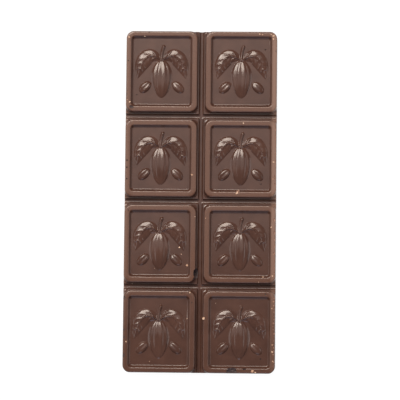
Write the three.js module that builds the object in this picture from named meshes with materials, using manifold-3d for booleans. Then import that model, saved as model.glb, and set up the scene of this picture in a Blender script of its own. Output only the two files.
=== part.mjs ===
// A moulded bar of dark milk chocolate, lying on its flat back.
//
// Grooves part it into two columns and four rows of squares. Each square is a sunken panel inside a rim
// with round corners, and the rim stands on a low tier with sharp corners, so a little ledge shows at each
// crossing. A raised cocoa pod between two leaves fills the middle of each panel. The bar has been handled:
// a bite is gone from one rim, a piece from the near edge, and an air bubble left a dent.
//
// Millimetres, +Z up. The origin is the middle of the flat back. +X runs across the bar and +Y along it.
import * as THREE from "three";
import { mergeVertices } from "three/addons/utils/BufferGeometryUtils.js";
import Module from "manifold-3d";

// The bar.
const COLUMNS = 2;
const ROWS = 4;
const SQUARE_WIDTH = 26; // from groove to groove, measured on the top
const SQUARE_LENGTH = 29.35;
const HEIGHT = 8;
const FLARE = 0.3; // how far the sides lean out on their way down to the back
const BACK_ROUNDING = 0.35; // the edge all round the flat back

// The grooves, in height above the back and in distance from the groove's middle line.
const GROOVE_FLOOR = { z: 5.2, from: 0.5 };
const LEDGE = { z: 6.2, from: 0.85 };
const RIM_EDGE = 1.55; // the middle of the rounding at the top of a rim's outer wall

// The rim and its panel. Inward distances are measured from the rim's outer edge.
const RIM_WIDTH = 1.65;
const RIM_ROUNDING = 0.2;
const RIM_DROP = 0.3; // how deep its rounded edges reach
const RIM_EASE = 0.3; // share of both at which the rounding has its middle ring
const RIM_CORNER = 2.5;
const OPENING_CORNER = 1.4; // inside corner of the rim
const PANEL_DEPTH = 1.2;
const PANEL_WALL = 0.75; // how far the sloping wall round a panel runs inwards
const PANEL_FOOT = 0.4; // and the hollow at its foot
const PANEL_CORNER = 0.5;
const CORNER_STEPS = 5;

// The emblem, with sizes in the plane of the panel and heights above it.
const SUNK = 0.25; // how deep its forms reach into the panel
const POD = { top: 4.2, tip: -9.2, halfWidth: 3.7, height: 1, ridge: 0.1 };
const LEAF = { halfWidth: 2.6, height: 0.5, midrib: 0.85, wave: 0.1 };
const BEAN = { length: 4.8, width: 3.1, height: 0.8, crease: 0.72, out: 5.7, down: 5.5, turn: 0.8 };
const STALK = { halfWidth: 0.55, height: 0.7 };

const chocolate = new THREE.MeshStandardMaterial({ color: 0x5e4640, roughness: 0.38, metalness: 0 });

const wasm = await Module();
wasm.setup();

// A closed geometry as a solid that can be joined and cut.
function toSolid(geometry) {
  const bare = geometry.index ? geometry.toNonIndexed() : geometry.clone();
  bare.deleteAttribute("normal");
  bare.deleteAttribute("uv");
  const merged = mergeVertices(bare);
  const corners = merged.index.array;
  const kept = [];
  for (let i = 0; i < corners.length; i += 3) {
    const [a, b, c] = corners.slice(i, i + 3);
    if (a !== b && b !== c && c !== a) kept.push(a, b, c);
  }
  return new wasm.Manifold(new wasm.Mesh({
    numProp: 3,
    vertProperties: merged.attributes.position.array,
    triVerts: new Uint32Array(kept),
  }));
}

// A solid as a geometry to draw.
function toGeometry(solid) {
  const mesh = solid.getMesh();
  const geometry = new THREE.BufferGeometry();
  geometry.setAttribute("position", new THREE.BufferAttribute(mesh.vertProperties, 3));
  geometry.setIndex(new THREE.BufferAttribute(mesh.triVerts, 1));
  geometry.computeVertexNormals();
  return geometry;
}

// The closed skin over a stack of rings with equally many points, each ring running anticlockwise seen from
// the last one. The first and the last ring are closed by a flat face, unless they are drawn to one point.
function loft(rings) {
  const points = [];
  const add = (...corners) => corners.forEach((p) => points.push(p.x, p.y, p.z));
  const size = rings[0].length;
  for (let k = 0; k + 1 < rings.length; k++) {
    const [low, high] = [rings[k], rings[k + 1]];
    for (let i = 0; i < size; i++) {
      const j = (i + 1) % size;
      if (low[i].distanceTo(high[i]) + low[j].distanceTo(high[j]) === 0) continue;
      add(low[i], low[j], high[j]);
      add(low[i], high[j], high[i]);
    }
  }
  closeRing(rings[0], (a, b, c) => add(a, c, b));
  closeRing(rings[rings.length - 1], add);
  const geometry = new THREE.BufferGeometry();
  geometry.setAttribute("position", new THREE.Float32BufferAttribute(points, 3));
  return geometry;
}

// The flat faces inside one ring, whose repeated points count once.
function closeRing(ring, addFace) {
  const outline = ring.filter((p, i) => p.distanceTo(ring[(i + 1) % ring.length]) > 0);
  if (outline.length < 3) return;
  THREE.ShapeUtils.triangulateShape(outline, []).forEach(([a, b, c]) => {
    addFace(outline[a], outline[b], outline[c]);
  });
}

// ---- The squares ----

// The four corners of a square in turn, anticlockwise: which side each lies on, and where its arc begins.
const CORNERS = [
  { x: "right", y: "back", begin: 0 },
  { x: "left", y: "back", begin: Math.PI / 2 },
  { x: "left", y: "front", begin: Math.PI },
  { x: "right", y: "front", begin: 1.5 * Math.PI },
];

// A ring at one height. Each corner runs from one side to the next round the given centre, in an arc, or
// where it is sharp by way of the point where the sides meet.
function ring(sides, centres, z, isSharp) {
  return CORNERS.flatMap((corner, index) => {
    const centre = centres[index];
    const reach = { x: Math.abs(sides[corner.x] - centre.x), y: Math.abs(sides[corner.y] - centre.y) };
    return Array.from({ length: CORNER_STEPS + 1 }, (_, step) => {
      const angle = corner.begin + (step / CORNER_STEPS) * (Math.PI / 2);
      if (isSharp(index) && step > 0 && step < CORNER_STEPS) {
        return new THREE.Vector3(sides[corner.x], sides[corner.y], z);
      }
      return new THREE.Vector3(centre.x + reach.x * Math.cos(angle), centre.y + reach.y * Math.sin(angle), z);
    });
  });
}

// The sides of a rectangle moved inwards: by one distance beside a groove, by another on the bar's own edge.
function inset(cell, besideGroove, onEdge) {
  const by = (side) => (cell.onEdge[side] ? onEdge : besideGroove);
  return {
    left: cell.left + by("left"),
    right: cell.right - by("right"),
    front: cell.front + by("front"),
    back: cell.back - by("back"),
  };
}

function cornerCentres(sides, radius) {
  return CORNERS.map(({ x, y }) => ({
    x: sides[x] + (x === "right" ? -radius : radius),
    y: sides[y] + (y === "back" ? -radius : radius),
  }));
}

function cellAt(column, row) {
  const left = (column - COLUMNS / 2) * SQUARE_WIDTH;
  const front = (row - ROWS / 2) * SQUARE_LENGTH;
  return {
    left,
    right: left + SQUARE_WIDTH,
    front,
    back: front + SQUARE_LENGTH,
    onEdge: { left: column === 0, right: column === COLUMNS - 1, front: row === 0, back: row === ROWS - 1 },
  };
}

// One square from the back of the bar to the floor of its panel, with its half of the grooves beside it.
function squareGeometry(cell) {
  const lean = (z) => -FLARE * (1 - z / HEIGHT);
  const outer = cornerCentres(inset(cell, RIM_EDGE, 0), RIM_CORNER);
  const onBarCorner = (i) => cell.onEdge[CORNERS[i].x] && cell.onEdge[CORNERS[i].y];
  const lower = (z, fromGroove, onEdge) => {
    return ring(inset(cell, fromGroove, onEdge), outer, z, (i) => !onBarCorner(i));
  };
  const upper = (z, inwards, radius) => {
    const sides = inset(cell, RIM_EDGE + inwards, inwards);
    return ring(sides, cornerCentres(sides, radius), z, () => false);
  };
  const arcWall = (z, fromGroove) => ring(inset(cell, fromGroove, lean(z)), outer, z, () => false);

  const shoulder = HEIGHT - RIM_DROP;
  const eased = HEIGHT - RIM_EASE * RIM_DROP;
  const floor = HEIGHT - PANEL_DEPTH;
  return loft([
    lower(0, 0, lean(0) + BACK_ROUNDING),
    lower(BACK_ROUNDING, 0, lean(BACK_ROUNDING)),
    lower(GROOVE_FLOOR.z, 0, lean(GROOVE_FLOOR.z)),
    lower(GROOVE_FLOOR.z, GROOVE_FLOOR.from, lean(GROOVE_FLOOR.z)),
    lower(LEDGE.z, LEDGE.from, lean(LEDGE.z)),
    arcWall(LEDGE.z, LEDGE.from),
    arcWall(shoulder, RIM_EDGE - RIM_ROUNDING),
    upper(eased, RIM_EASE * RIM_ROUNDING, RIM_CORNER),
    upper(HEIGHT, RIM_ROUNDING, RIM_CORNER - RIM_ROUNDING),
    upper(HEIGHT, RIM_WIDTH - RIM_ROUNDING, OPENING_CORNER + RIM_ROUNDING),
    upper(eased, RIM_WIDTH, OPENING_CORNER),
    upper(floor + RIM_DROP, RIM_WIDTH + PANEL_WALL, PANEL_CORNER + PANEL_FOOT),
    upper(floor, RIM_WIDTH + PANEL_WALL + PANEL_FOOT, PANEL_CORNER),
  ]);
}

// ---- The emblem ----

// A raised form along a midline. Each station has a place, the direction across the form there, and an arch:
// points across it from -1 to 1 of the half width, with their heights. The underside is sunk in the panel.
function reliefGeometry(stations) {
  return loft(stations.map(({ place, across, halfWidth, arch }) => {
    return arch.map(([offset, height], i) => {
      const edge = i === 0 || i === arch.length - 1;
      const at = place.clone().addScaledVector(across, offset * halfWidth);
      return new THREE.Vector3(at.x, at.y, edge || halfWidth === 0 ? -SUNK : height);
    });
  }));
}

// Stations along a curve, from start to end, with the half width and the arch that each one takes.
function stationsAlong(curve, shares, halfWidthAt, archAt) {
  return shares.map((share, index) => {
    const along = curve.getTangent(share);
    const isEnd = index === 0 || index === shares.length - 1;
    return {
      place: curve.getPoint(share),
      across: new THREE.Vector2(along.y, -along.x),
      halfWidth: isEnd ? 0 : halfWidthAt(share),
      arch: archAt(share, index),
    };
  });
}

const point = (x, y) => new THREE.Vector2(x, y);

// An arch with both sides alike: its edges, the given points from an edge inwards, and its middle height.
function mirrored(points, middle) {
  const far = points.map(([offset, height]) => [-offset, height]);
  return [[-1, 0], ...far, [0, middle], ...points.slice().reverse(), [1, 0]];
}

// A pod that hangs by its blunt end, with five ridges along it.
function podGeometry() {
  const shares = [0, 0.05, 0.15, 0.3, 0.46, 0.62, 0.77, 0.89, 0.96, 1];
  const fullness = (share) => Math.sin(Math.PI * share ** 0.88) ** 0.66;
  const steps = 12;
  const arch = (share) => Array.from({ length: steps + 1 }, (_, i) => {
    const angle = (i / steps) * Math.PI;
    const swell = 1 + (i % 2 ? -POD.ridge : POD.ridge) * fullness(share);
    return [-Math.cos(angle) * swell, Math.sin(angle) * swell * POD.height * fullness(share)];
  });
  const hanging = new THREE.LineCurve(point(0, POD.top), point(0, POD.tip));
  return reliefGeometry(stationsAlong(hanging, shares, (s) => POD.halfWidth * fullness(s), arch));
}

// A broad pointed leaf whose blade rises to its midrib, in shallow waves from vein to vein.
function leafGeometry(side) {
  const bow = [point(0.3, 3.6), point(5.6, 8.8), point(8.6, -2.4)];
  const curve = new THREE.QuadraticBezierCurve(...bow.map((p) => point(p.x * side, p.y)));
  const shares = [0, 0.06, 0.18, 0.3, 0.42, 0.54, 0.66, 0.78, 0.9, 1];
  const halfWidth = (share) => LEAF.halfWidth * Math.sin(Math.PI * share ** 0.8) ** 0.7;
  const arch = (share, index) => {
    const blade = LEAF.height + (index % 2 ? LEAF.wave : -LEAF.wave);
    return mirrored([[0.86, blade * 0.8], [0.18, blade]], LEAF.midrib);
  };
  return reliefGeometry(stationsAlong(curve, shares, halfWidth, arch));
}

// A plump bean with a crease along it, on the given side of the pod.
function beanGeometry(side) {
  const middle = point(BEAN.out * side, -BEAN.down);
  const reach = point(Math.cos(BEAN.turn) * side, Math.sin(BEAN.turn)).multiplyScalar(BEAN.length / 2);
  const curve = new THREE.LineCurve(middle.clone().sub(reach), middle.clone().add(reach));
  const shares = [0, 0.1, 0.32, 0.68, 0.9, 1];
  const fullness = (share) => Math.sin(Math.PI * share) ** 0.55;
  const arch = (share) => {
    const top = BEAN.height * fullness(share);
    return mirrored([[0.85, top * 0.6], [0.35, top]], top * BEAN.crease);
  };
  return reliefGeometry(stationsAlong(curve, shares, (s) => (BEAN.width / 2) * fullness(s), arch));
}

// The stalk from which pod and leaves grow.
function stalkGeometry() {
  const curve = new THREE.QuadraticBezierCurve(point(0.9, 9.1), point(-0.3, 7), point(0, 3.2));
  const shares = [0, 0.04, 0.35, 0.7, 0.96, 1];
  const arch = () => mirrored([[0.7, STALK.height * 0.7]], STALK.height);
  return reliefGeometry(stationsAlong(curve, shares, () => STALK.halfWidth, arch));
}

function emblemSolid() {
  const forms = [
    podGeometry(),
    leafGeometry(-1),
    leafGeometry(1),
    stalkGeometry(),
    beanGeometry(-1),
    beanGeometry(1),
  ];
  return forms.map(toSolid).reduce((whole, form) => whole.add(form));
}

// The middle of a square's panel, where its emblem stands.
function panelMiddle(cell) {
  const floor = inset(cell, RIM_EDGE + RIM_WIDTH, RIM_WIDTH);
  return [(floor.left + floor.right) / 2, (floor.front + floor.back) / 2, HEIGHT - PANEL_DEPTH];
}

// ---- Wear ----

// A lump of broken-off chocolate: a faceted ball with uneven faces, stretched and turned into place.
function lump(x, y, z, size, turn) {
  const geometry = new THREE.IcosahedronGeometry(1, 1);
  const places = geometry.attributes.position;
  for (let i = 0; i < places.count; i++) {
    const at = new THREE.Vector3().fromBufferAttribute(places, i);
    const uneven = 1 + 0.14 * Math.sin(5 * at.x + 3 * at.z) * Math.cos(4 * at.y + 1);
    places.setXYZ(i, at.x * uneven, at.y * uneven, at.z * uneven);
  }
  geometry.scale(...size);
  geometry.rotateZ(turn);
  geometry.translate(x, y, z);
  return toSolid(geometry);
}

const FRONT = (-ROWS / 2) * SQUARE_LENGTH;
const wear = [
  lump(-1, -SQUARE_LENGTH + 4.3, HEIGHT, [1.3, 2.3, 1.2], 0.1), // bitten from a rim beside the long groove
  lump(11.4, FRONT + 0.6, HEIGHT, [1.75, 1.9, 0.9], 0), // broken from the near edge
  lump(15.7, FRONT + 1.6, HEIGHT, [0.75, 0.4, 0.4], 0), // a pit beside it
  lump(-24.2, SQUARE_LENGTH + 2.4, HEIGHT, [0.75, 0.65, 0.35], 0), // the dent of an air bubble
];

// ---- The whole bar ----

const cells = [];
for (let row = 0; row < ROWS; row++) {
  for (let column = 0; column < COLUMNS; column++) cells.push(cellAt(column, row));
}
const emblem = emblemSolid();
let solid = cells.map((cell) => toSolid(squareGeometry(cell))).reduce((whole, square) => whole.add(square));
for (const cell of cells) solid = solid.add(emblem.translate(panelMiddle(cell)));
for (const gone of wear) solid = solid.subtract(gone);

const bar = new THREE.Mesh(toGeometry(solid), chocolate);
bar.name = "bar";

const chocolateBar = new THREE.Group();
chocolateBar.add(bar);

export default chocolateBar;
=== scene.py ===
# %% [markdown]
# # A moulded bar of milk chocolate
#
# Melted chocolate is poured into a stiff plastic mould, cooled until it shrinks a little, and knocked out. So
# the face that shows is an exact, glossy print of the mould, the sides lean so that the bar can leave it, and
# the back is the flat surface that was poured last. All of it is one piece.
#
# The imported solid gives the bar's size and place. This lesson builds the same bar again with the finer
# roundings, relief and wear that the eye sees, and hides the plain solid behind it.

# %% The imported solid
import math
import random

import bmesh
import bpy
from mathutils import Matrix, Vector


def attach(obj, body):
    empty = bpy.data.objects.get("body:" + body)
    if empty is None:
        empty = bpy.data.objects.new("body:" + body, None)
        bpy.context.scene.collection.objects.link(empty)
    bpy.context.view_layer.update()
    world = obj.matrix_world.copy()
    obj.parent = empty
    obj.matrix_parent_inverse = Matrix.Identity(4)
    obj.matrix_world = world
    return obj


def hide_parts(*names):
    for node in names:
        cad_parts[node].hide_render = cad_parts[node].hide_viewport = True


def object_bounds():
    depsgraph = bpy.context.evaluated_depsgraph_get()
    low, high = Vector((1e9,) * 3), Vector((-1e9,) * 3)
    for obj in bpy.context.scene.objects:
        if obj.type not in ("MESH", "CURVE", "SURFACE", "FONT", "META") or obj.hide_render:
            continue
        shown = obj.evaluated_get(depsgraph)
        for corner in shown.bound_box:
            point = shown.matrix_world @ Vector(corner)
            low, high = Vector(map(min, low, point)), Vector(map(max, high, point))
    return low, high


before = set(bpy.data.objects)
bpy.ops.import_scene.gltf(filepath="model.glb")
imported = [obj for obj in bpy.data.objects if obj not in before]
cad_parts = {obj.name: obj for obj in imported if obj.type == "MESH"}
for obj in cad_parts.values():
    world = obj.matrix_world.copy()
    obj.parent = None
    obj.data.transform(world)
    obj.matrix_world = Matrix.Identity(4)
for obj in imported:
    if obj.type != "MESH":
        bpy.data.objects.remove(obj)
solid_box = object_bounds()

print("solid, in metres:", [tuple(corner) for corner in solid_box])

# %% [markdown]
# ## Sizes
#
# Blender works in metres, and a chocolate bar is made to tenths of a millimetre, so every size below is a
# number of millimetres times `MM`. The whole bar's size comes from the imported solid. The solid's widest place
# is just above its back, where the leaning sides end, and the squares are measured on top, so the lean is
# taken off first.

# %% Sizes
MM = 0.001
CLOSE = 0.001 * MM  # two points nearer than this count as one place
COLUMNS = 2
ROWS = 4

HEIGHT = solid_box[1].z
LEAN = 0.3 * MM  # how far a side leans out from the top to the back
BACK_ROUNDING = 0.35 * MM
spread = LEAN * (1 - BACK_ROUNDING / HEIGHT)
HALF_WIDTH = solid_box[1].x - spread
HALF_LENGTH = solid_box[1].y - spread
SQUARE_WIDTH = 2 * HALF_WIDTH / COLUMNS  # from groove to groove
SQUARE_LENGTH = 2 * HALF_LENGTH / ROWS
print(f"a square is {SQUARE_WIDTH / MM:.2f} by {SQUARE_LENGTH / MM:.2f} mm")

GROOVE_FLOOR = 5.2 * MM  # height above the back
LEDGE = 6.2 * MM  # top of the low tier that each rim stands on
LEDGE_FROM = 0.86 * MM  # from the middle of a groove to the tier's edge
RIM_FROM = 1.55 * MM  # and to the rim's outer edge
RIM_WIDTH = 1.65 * MM
RIM_CORNER = 2.5 * MM  # outer corner of a rim, seen from above
OPENING_CORNER = 1.4 * MM  # and its inner corner
PANEL_DEPTH = 1.2 * MM
PANEL_FLOOR = HEIGHT - PANEL_DEPTH

# %% [markdown]
# ## Small helpers
#
# A modelling operator acts on everything that is selected, so each step begins by selecting just what it
# means. By hand that is a click. In a script it is a test on each point, edge or face.

# %% Helpers for selecting and editing


def select_only(*pieces):
    """Selects these objects and nothing else. The first one is the active one."""
    bpy.ops.object.select_all(action="DESELECT")
    for piece in pieces:
        piece.select_set(True)
    bpy.context.view_layer.objects.active = pieces[0]


def edit(piece):
    select_only(piece)
    bpy.ops.object.mode_set(mode="EDIT")


def leave():
    bpy.ops.object.mode_set(mode="OBJECT")


def pick(kind, test):
    """In edit mode, selects exactly the VERT, EDGE or FACE elements that pass the test."""
    bpy.ops.mesh.select_mode(type=kind)
    bpy.ops.mesh.select_all(action="DESELECT")
    mesh = bmesh.from_edit_mesh(bpy.context.edit_object.data)
    elements = {"VERT": mesh.verts, "EDGE": mesh.edges, "FACE": mesh.faces}[kind]
    for element in elements:
        element.select = test(element)
    mesh.select_flush_mode()
    bmesh.update_edit_mesh(bpy.context.edit_object.data)


def pick_all():
    bpy.ops.mesh.select_all(action="SELECT")


def resize(x, y, z, about):
    bpy.ops.transform.resize(value=(x, y, z), center_override=about)


def move(x, y, z):
    bpy.ops.transform.translate(value=(x, y, z))


def quarter_turn(axis):
    bpy.ops.transform.rotate(value=math.pi / 2, orient_axis=axis, center_override=(0, 0, 0))


def face_outwards():
    pick_all()
    bpy.ops.mesh.normals_make_consistent(inside=False)


# %% Helpers for whole pieces


def new_piece(name):
    """An empty mesh object, open for modelling."""
    piece = bpy.data.objects.new(name, bpy.data.meshes.new(name))
    bpy.context.scene.collection.objects.link(piece)
    edit(piece)
    return piece


def copy_of(piece):
    select_only(piece)
    bpy.ops.object.duplicate(linked=False)
    return bpy.context.object


def joined(pieces, name):
    select_only(*pieces)
    bpy.ops.object.join()
    piece = bpy.context.object
    piece.name = name
    return piece


def place(piece, x, y, z, turn=0):
    """Turns a piece about Z, moves it, and writes both into its mesh."""
    piece.rotation_euler.z = turn
    piece.location = (x, y, z)
    select_only(piece)
    bpy.ops.object.transform_apply(location=True, rotation=True, scale=True)


def modify(piece, kind, **settings):
    """Adds a modifier with these settings and applies it."""
    modifier = piece.modifiers.new(kind, kind)
    for setting, value in settings.items():
        setattr(modifier, setting, value)
    select_only(piece)
    bpy.ops.object.modifier_apply(modifier=modifier.name)


def combine(piece, tool, operation):
    """Unites a piece with a tool, or cuts the tool out of it. The tool is used up."""
    modify(piece, "BOOLEAN", operation=operation, object=tool, solver="MANIFOLD")
    bpy.data.objects.remove(tool)


# %% [markdown]
# ## The slab
#
# Under its squares the bar is one slab, up to the tops of the low tiers, with grooves that make it easy to
# break. It could be drawn as an outline and extruded, but a cube that is shaped in edit mode shows better how
# the mould was cut: the top face is drawn in so that the sides lean, the upright edges and the edges of the
# back are bevelled, and then one long and three short cutters, the negative of the mould's ridges, are taken
# away.

# %% A block with leaning sides


def side_at(z):
    """How far in from the outline on top the bar's own side lies at a height. It leans out, so below zero."""
    return -LEAN * (1 - z / HEIGHT)


def add_block(name, half_x, half_y, low, high, draw_in):
    """A cube from one height to another, whose top is drawn in by some distance in X and in Y."""
    bpy.ops.object.select_all(action="DESELECT")
    bpy.ops.mesh.primitive_cube_add(size=1, location=(0, 0, (low + high) / 2))
    block = bpy.context.object
    block.name = name
    block.scale = (2 * half_x, 2 * half_y, high - low)
    bpy.ops.object.transform_apply(location=True, rotation=True, scale=True)
    edit(block)
    pick("FACE", lambda face: face.normal.z > 0.5)
    resize(1 - draw_in[0] / half_x, 1 - draw_in[1] / half_y, 1, (0, 0, high))
    return block


def is_upright(edge):
    return abs(edge.verts[0].co.z - edge.verts[1].co.z) > LEDGE / 2


def is_on_back(edge):
    return max(vert.co.z for vert in edge.verts) < BACK_ROUNDING / 2


CORNER_STEPS = 10
lean_to_ledge = side_at(LEDGE) - side_at(0)
slab = add_block(
    "slab",
    HALF_WIDTH - side_at(0),
    HALF_LENGTH - side_at(0),
    0,
    LEDGE,
    (lean_to_ledge, lean_to_ledge),
)
pick("EDGE", is_upright)
bpy.ops.mesh.bevel(offset=RIM_CORNER - side_at(LEDGE), segments=CORNER_STEPS, affect="EDGES")
pick("EDGE", is_on_back)
bpy.ops.mesh.bevel(offset=BACK_ROUNDING, segments=4, affect="EDGES")
leave()
print("slab:", len(slab.data.polygons), "faces")

# %% The grooves

GROOVE_FOOT = 0.68 * MM  # half width where the walls would meet the floor
GROOVE_ROUNDING = 0.45 * MM  # length of the bevel there
OVERSHOOT = 1.0 * MM  # how far a cutter reaches past what it cuts

short_grooves = [(row - ROWS / 2) * SQUARE_LENGTH for row in range(1, ROWS)]  # their places in Y


def is_low_and_along(edge):
    one, other = (vert.co for vert in edge.verts)
    return max(one.z, other.z) < LEDGE and abs(one.x - other.x) < CLOSE


def add_groove_cutter(half_length):
    """A bar along Y, wider above, with rounded lower edges. Its walls carry on the tier's slope."""
    top = LEDGE + OVERSHOOT
    slope = (LEDGE_FROM - GROOVE_FOOT) / (LEDGE - GROOVE_FLOOR)
    half_top = GROOVE_FOOT + slope * (top - GROOVE_FLOOR)
    cutter = add_block("groove cutter", half_top, half_length, GROOVE_FLOOR, top, (0, 0))
    pick("FACE", lambda face: face.normal.z < -0.5)
    resize(GROOVE_FOOT / half_top, 1, 1, (0, 0, GROOVE_FLOOR))
    pick("EDGE", is_low_and_along)
    bpy.ops.mesh.bevel(offset=GROOVE_ROUNDING, segments=5, affect="EDGES")
    leave()
    return cutter


combine(slab, add_groove_cutter(HALF_LENGTH + OVERSHOOT), "DIFFERENCE")
for middle in short_grooves:
    cutter = add_groove_cutter(HALF_WIDTH + OVERSHOOT)
    edit(cutter)
    pick_all()
    quarter_turn("Z")
    move(0, middle, 0)
    leave()
    combine(slab, cutter, "DIFFERENCE")

# %% [markdown]
# ## The tiers' edges
#
# No mould has a knife edge, so the tops of the tiers are bevelled by about a tenth of a millimetre. Such a
# bevel is a few long thin faces from crossing to crossing, and smooth shading would spread the turn of the
# corner at their ends along all of them, as a streak of light that isn't there on a real bar. More bevel
# steps wouldn't help. A cut across the long faces, close to each crossing, does: the turn then stays in the
# short stretch.

# %% Rounding the tiers

TIER_ROUNDING = 0.12 * MM
SPLIT_FROM = LEDGE_FROM + 2 * TIER_ROUNDING  # just past the bevel, from the middle of a groove


def is_tier_edge(edge):
    """An edge between the level top of a tier and the wall of a groove."""
    level = all(abs(vert.co.z - LEDGE) < CLOSE for vert in edge.verts)
    slopes = sorted(face.normal.z for face in edge.link_faces)
    return level and 0.2 < slopes[0] < 0.9 < slopes[-1]


def split_beside(middle, axis):
    """Cuts all faces across on both sides of a groove that lies at this place on the X (0) or Y (1) axis."""
    for side in (1, -1):
        plane_at = [0, 0, 0]
        plane_at[axis] = middle + side * SPLIT_FROM
        facing = [0, 0, 0]
        facing[axis] = 1
        pick_all()
        bpy.ops.mesh.bisect(plane_co=plane_at, plane_no=facing)


edit(slab)
pick("EDGE", is_tier_edge)
bpy.ops.mesh.bevel(offset=TIER_ROUNDING, segments=3, affect="EDGES")
split_beside(0, axis=0)
for middle in short_grooves:
    split_beside(middle, axis=1)
leave()
print("slab with grooves:", len(slab.data.polygons), "faces")

# %% [markdown]
# ## One square
#
# On each tier stands a rim with round corners, and inside the rim lies a sunken panel. Seen from above every
# level of it is a rectangle with round corners, so the square is built like a stack of outlines: a plane for
# each level with its corners bevelled, its face deleted, and a bridge from outline to outline.
#
# The section through the rim is drawn once, as a path with a few corners, and each corner is replaced by an
# arc. The arcs matter: a rounded edge always has some place that mirrors the light towards the eye, and that
# is the fine bright line along every edge of real chocolate.

# %% The section through a rim


def rounded_path(corners, steps):
    """The path through corners (x, z, radius), with an arc in place of each one that has a radius."""
    path = []
    for i, (x, z, radius) in enumerate(corners):
        here = Vector((x, z))
        if radius == 0:
            path.append(here)
            continue
        before = (Vector(corners[i - 1][:2]) - here).normalized()
        after = (Vector(corners[i + 1][:2]) - here).normalized()
        half = before.angle(after) / 2
        centre = here + (before + after).normalized() * radius / math.sin(half)
        start = here + before * radius / math.tan(half) - centre
        turn = math.copysign(math.pi - 2 * half, before.x * after.y - before.y * after.x)
        for step in range(steps + 1):
            path.append(centre + Matrix.Rotation(-turn * step / steps, 2) @ start)
    return path


# Distances inwards from the rim's outer edge.
WALL_FOOT = -0.41 * MM
WALL_TOP = -0.12 * MM
OPENING_TOP = 1.66 * MM
OPENING_FOOT = 2.37 * MM
PANEL_EDGE = 2.7 * MM

# Radii of its corners.
OUTER_ROUNDING = 0.49 * MM
INNER_ROUNDING = 0.46 * MM
FOOT_ROUNDING = 0.41 * MM

CROWN = 0.015 * MM  # a panel is never quite level: it lies this much lower along its edge

section = rounded_path(
    [
        (WALL_FOOT, LEDGE, 0),
        (WALL_TOP, HEIGHT, OUTER_ROUNDING),
        (OPENING_TOP, HEIGHT, INNER_ROUNDING),
        (OPENING_FOOT, PANEL_FLOOR - CROWN, FOOT_ROUNDING),
        (PANEL_EDGE, PANEL_FLOOR, 0),
    ],
    steps=6,
)[1:]
print("the section has", len(section), "points")

# %% The hollow where a round corner of the rim stands on its ledge

HOLLOW = 0.8 * MM
HOLLOW_SUNK = HOLLOW / 8  # it starts this far below the ledge, so that the two surfaces cross
WALL_ANGLE = math.atan2(HEIGHT - LEDGE, WALL_TOP - WALL_FOOT)


def wall_at(z):
    """How far in the rim's outer wall lies at a height, beside a groove."""
    return WALL_FOOT + (z - LEDGE) / math.tan(WALL_ANGLE)


def foot_levels(steps=4):
    """Levels (inwards, height, flare) up the hollow. The flare is how far it stands out from the wall."""
    reach = HOLLOW * math.tan(WALL_ANGLE / 2)
    sunk = LEDGE - HOLLOW_SUNK
    levels = [(wall_at(sunk), sunk, reach + HOLLOW_SUNK)]
    for step in range(steps + 1):
        angle = WALL_ANGLE * step / steps
        above = HOLLOW * (1 - math.cos(angle))
        out = reach - HOLLOW * math.sin(angle)
        levels.append((wall_at(LEDGE + above), LEDGE + above, out + above / math.tan(WALL_ANGLE)))
    return levels


# %% Where one square lies

EDGE_ROUNDING = 0.51 * MM  # the top edge of the bar's own sides
SETBACK = 0.002 * MM  # how far a square stands in from the slab's side, too fine to see


def edge_at(z):
    """How far in the bar's own side lies at a height, its rounded top edge included."""
    above = max(z - (HEIGHT - EDGE_ROUNDING), 0)
    return side_at(z) + EDGE_ROUNDING - math.sqrt(max(EDGE_ROUNDING**2 - above**2, 0))


def is_outside(inwards):
    """Whether a level belongs to the outer half of the rim, which follows the bar's own sides."""
    return inwards < RIM_WIDTH / 2


class Cell:
    """The place of one square in the bar, and which of its sides are the bar's own."""

    def __init__(self, column, row):
        self.left = (column - COLUMNS / 2) * SQUARE_WIDTH
        self.front = (row - ROWS / 2) * SQUARE_LENGTH
        self.right = self.left + SQUARE_WIDTH
        self.back = self.front + SQUARE_LENGTH
        self.on_edge = {
            "left": column == 0,
            "right": column == COLUMNS - 1,
            "front": row == 0,
            "back": row == ROWS - 1,
        }

    def inset(self, inwards, z):
        """The four sides of one level: left, right, front and back."""
        on_edge = edge_at(z) + SETBACK if is_outside(inwards) else inwards
        by = {side: on_edge if own else RIM_FROM + inwards for side, own in self.on_edge.items()}
        return {
            "left": self.left + by["left"],
            "right": self.right - by["right"],
            "front": self.front + by["front"],
            "back": self.back - by["back"],
        }

    def middle(self):
        """The middle of the panel, at the height of its floor."""
        sides = self.inset(RIM_WIDTH, HEIGHT)
        x = (sides["left"] + sides["right"]) / 2
        y = (sides["front"] + sides["back"]) / 2
        return Vector((x, y, PANEL_FLOOR))


def corner_radius(cell, across, along, inwards, z):
    """The radius of one corner of one level. Corners on the bar's own sides keep to those sides."""
    if not is_outside(inwards):
        return OPENING_CORNER + RIM_WIDTH - inwards
    if cell.on_edge[across] and cell.on_edge[along]:
        return RIM_CORNER - edge_at(z)
    if cell.on_edge[across] or cell.on_edge[along]:
        return RIM_CORNER - max(inwards, 0)
    return RIM_CORNER - inwards


# %% One level of a square

# Outlines are made this high above the bar, where their points can be told from finished ones by height.
WORKBENCH = 20 * MM


def on_workbench(vert):
    return vert.co.z > WORKBENCH / 2


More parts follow.
